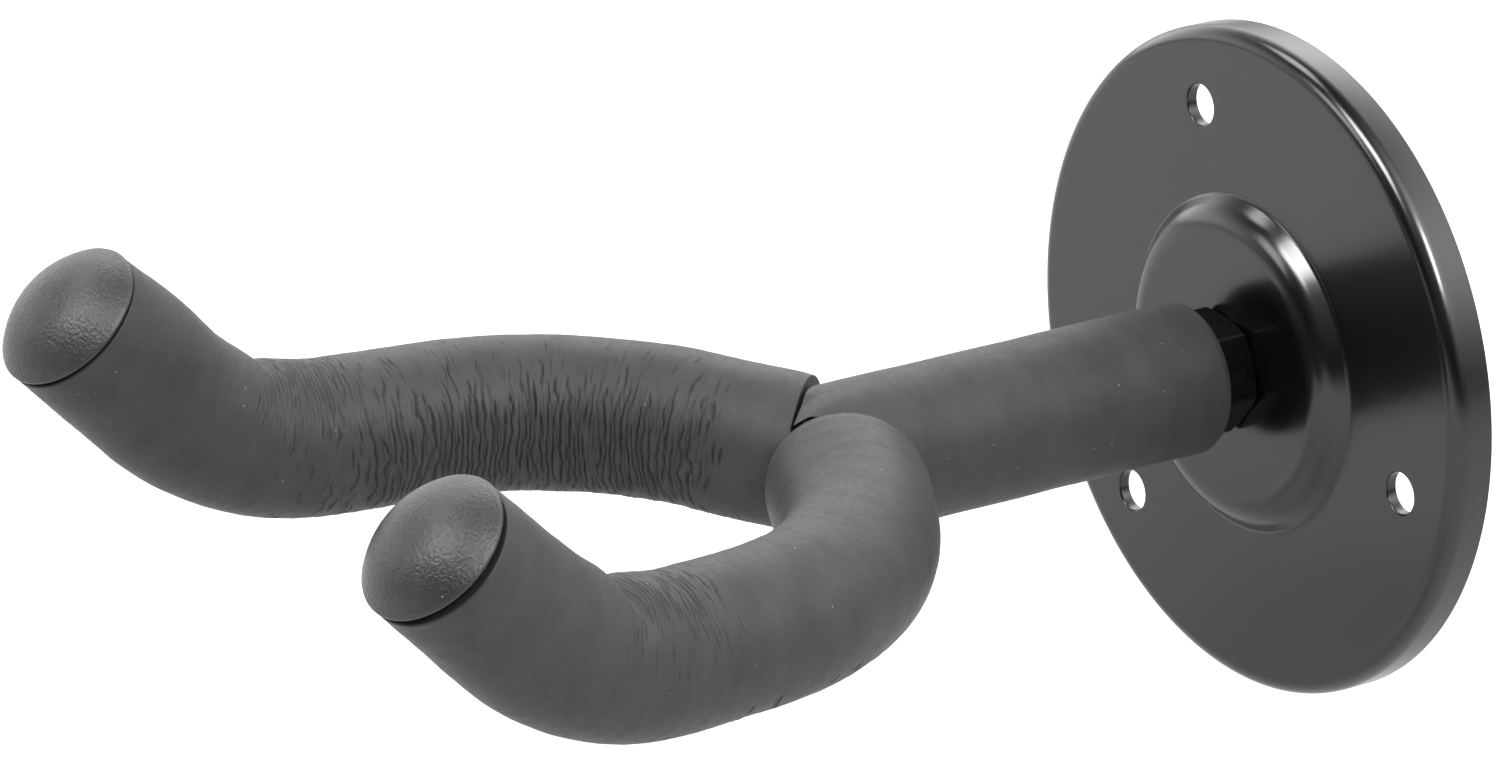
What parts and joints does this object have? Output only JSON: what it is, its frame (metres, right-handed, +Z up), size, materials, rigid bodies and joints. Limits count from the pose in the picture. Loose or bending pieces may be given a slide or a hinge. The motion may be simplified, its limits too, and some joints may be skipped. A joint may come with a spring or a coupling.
{
  "type": "wall guitar hanger",
  "caption": "Wall hanger for a guitar: round pressed steel wall plate, a short stem that swivels in it, and a foam-covered yoke whose upturned arms cradle the headstock.",
  "frame": {"origin": "middle of the wall plate's back, in the plane of the wall, on the stem's axis", "axes": "+Z up, -Y away from the wall along the stem, +X to the right for someone facing the hanger"},
  "size_m": [0.0933, 0.1489, 0.08],
  "materials": {
    "paint": "satin black powder coat",
    "steel": "black oxide",
    "foam": "matte dark grey nitrile foam",
    "cap": "matte dark grey moulded rubber, fine grain"
  },
  "bodies": {
    "plate": {"wall_plate": "paint"},
    "yoke": {"front_nut": "steel", "rear_washer": "steel", "rear_nut": "steel", "stem_bar": "steel", "yoke_bar": "steel", "stem_sleeve": "foam", "left_sleeve": "foam", "right_sleeve": "foam", "left_cap": "cap", "right_cap": "cap"}
  },
  "joints": [
    {"name": "yoke_swivel", "type": "hinge", "parent": "plate", "child": "yoke", "pos_m": [0, 0, 0], "axis": [0, -1, 0], "continuous": true}
  ]
}
